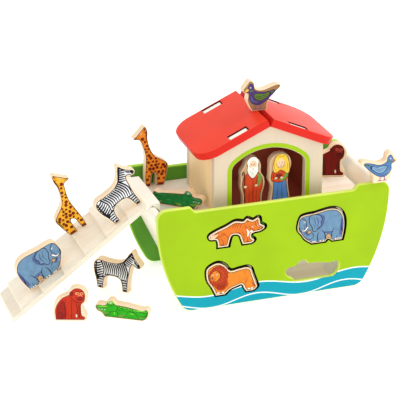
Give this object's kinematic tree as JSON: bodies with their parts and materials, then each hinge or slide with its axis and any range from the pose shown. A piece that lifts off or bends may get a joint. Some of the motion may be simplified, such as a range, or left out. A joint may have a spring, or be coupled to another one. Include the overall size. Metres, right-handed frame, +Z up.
{
  "type": "toy ark play set",
  "caption": "Wooden toy ark with a lime shape-sorting hull, lift-out deck house, red lift-off roof, hook-on stepped ramp and flat printed animal and people figures.",
  "frame": {"origin": "under the middle of the hull, on the floor", "axes": "+X along the hull towards the bow, away from the ramp; +Y from the front panel with the cut-outs to the back panel; +Z up"},
  "size_m": [0.5706, 0.1994, 0.3194],
  "materials": {
    "lime_paint": "satin",
    "pale_wood": "satin",
    "red_paint": "satin",
    "orange_print": "satin",
    "blue_print": "satin",
    "black_white_print": "satin",
    "green_print": "satin",
    "maroon_print": "satin",
    "people_print": "satin"
  },
  "bodies": {
    "hull": {"front_panel": "lime_paint", "back_panel": "lime_paint", "base_board": "pale_wood", "stern_board": "pale_wood", "bow_board": "pale_wood", "deck_cleats": "pale_wood", "hull_dowels": "pale_wood"},
    "deck_house": {"deck": "pale_wood", "house_front_wall": "pale_wood", "house_back_wall": "pale_wood", "house_left_wall": "pale_wood", "house_right_wall": "pale_wood"},
    "roof": {"roof_left": "red_paint", "roof_right": "red_paint"},
    "ramp": {"ramp_plank": "pale_wood", "ramp_treads": "pale_wood", "ramp_landing": "pale_wood"},
    "panel_fox": {"panel_fox": "orange_print"},
    "panel_elephant": {"panel_elephant": "blue_print"},
    "panel_lion": {"panel_lion": "orange_print"},
    "deck_giraffe": {"deck_giraffe": "orange_print"},
    "deck_crocodile": {"deck_crocodile": "green_print"},
    "deck_monkey": {"deck_monkey": "maroon_print"},
    "man_figure": {"man_figure": "people_print"},
    "woman_figure": {"woman_figure": "people_print"},
    "ramp_elephant": {"ramp_elephant": "blue_print"},
    "ramp_giraffe": {"ramp_giraffe": "orange_print"},
    "ramp_zebra": {"ramp_zebra": "black_white_print"},
    "floor_zebra": {"floor_zebra": "black_white_print"},
    "floor_monkey": {"floor_monkey": "maroon_print"},
    "floor_crocodile": {"floor_crocodile": "green_print"},
    "bow_bird": {"bow_bird": "blue_print"},
    "ridge_bird": {"ridge_bird": "blue_print"}
  },
  "joints": [
    {"name": "deck_house_lift", "type": "slide", "parent": "hull", "child": "deck_house", "axis": [0, 0, 1], "range_m": [0, 0.08]},
    {"name": "roof_lift", "type": "slide", "parent": "deck_house", "child": "roof", "axis": [0, 0, 1], "range_m": [0, 0.06]},
    {"name": "ridge_bird_lift", "type": "slide", "parent": "roof", "child": "ridge_bird", "axis": [0, 0, 1], "range_m": [0, 0.05]},
    {"name": "deck_giraffe_lift", "type": "slide", "parent": "deck_house", "child": "deck_giraffe", "axis": [0, 0, 1], "range_m": [0, 0.05]},
    {"name": "deck_crocodile_lift", "type": "slide", "parent": "deck_house", "child": "deck_crocodile", "axis": [0, 0, 1], "range_m": [0, 0.04]},
    {"name": "deck_monkey_lift", "type": "slide", "parent": "deck_house", "child": "deck_monkey", "axis": [0, 0, 1], "range_m": [0, 0.04]},
    {"name": "man_slide", "type": "slide", "parent": "deck_house", "child": "man_figure", "axis": [0, -1, 0], "range_m": [0, 0.02]},
    {"name": "woman_slide", "type": "slide", "parent": "deck_house", "child": "woman_figure", "axis": [0, -1, 0], "range_m": [0, 0.02]},
    {"name": "ramp_lift", "type": "slide", "parent": "hull", "child": "ramp", "axis": [0, 0, 1], "range_m": [0, 0.06]},
    {"name": "ramp_zebra_lift", "type": "slide", "parent": "ramp", "child": "ramp_zebra", "axis": [0, 0, 1], "range_m": [0, 0.04]},
    {"name": "ramp_giraffe_lift", "type": "slide", "parent": "ramp", "child": "ramp_giraffe", "axis": [0, 0, 1], "range_m": [0, 0.04]},
    {"name": "ramp_elephant_lift", "type": "slide", "parent": "ramp", "child": "ramp_elephant", "axis": [0, 0, 1], "range_m": [0, 0.04]},
    {"name": "bow_bird_lift", "type": "slide", "parent": "hull", "child": "bow_bird", "axis": [0, 0, 1], "range_m": [0, 0.05]},
    {"name": "panel_fox_pull", "type": "slide", "parent": "hull", "child": "panel_fox", "axis": [0, -1, 0], "range_m": [0, 0.03]},
    {"name": "panel_elephant_pull", "type": "slide", "parent": "hull", "child": "panel_elephant", "axis": [0, -1, 0], "range_m": [0, 0.03]},
    {"name": "panel_lion_pull", "type": "slide", "parent": "hull", "child": "panel_lion", "axis": [0, -1, 0], "range_m": [0, 0.03]},
    {"name": "floor_zebra_lift", "type": "slide", "parent": "hull", "child": "floor_zebra", "axis": [0, 0, 1], "range_m": [0, 0.03]},
    {"name": "floor_monkey_slide", "type": "slide", "parent": "hull", "child": "floor_monkey", "axis": [0, -1, 0], "range_m": [0, 0.04]},
    {"name": "floor_crocodile_lift", "type": "slide", "parent": "hull", "child": "floor_crocodile", "axis": [0, 0, 1], "range_m": [0, 0.04]}
  ]
}
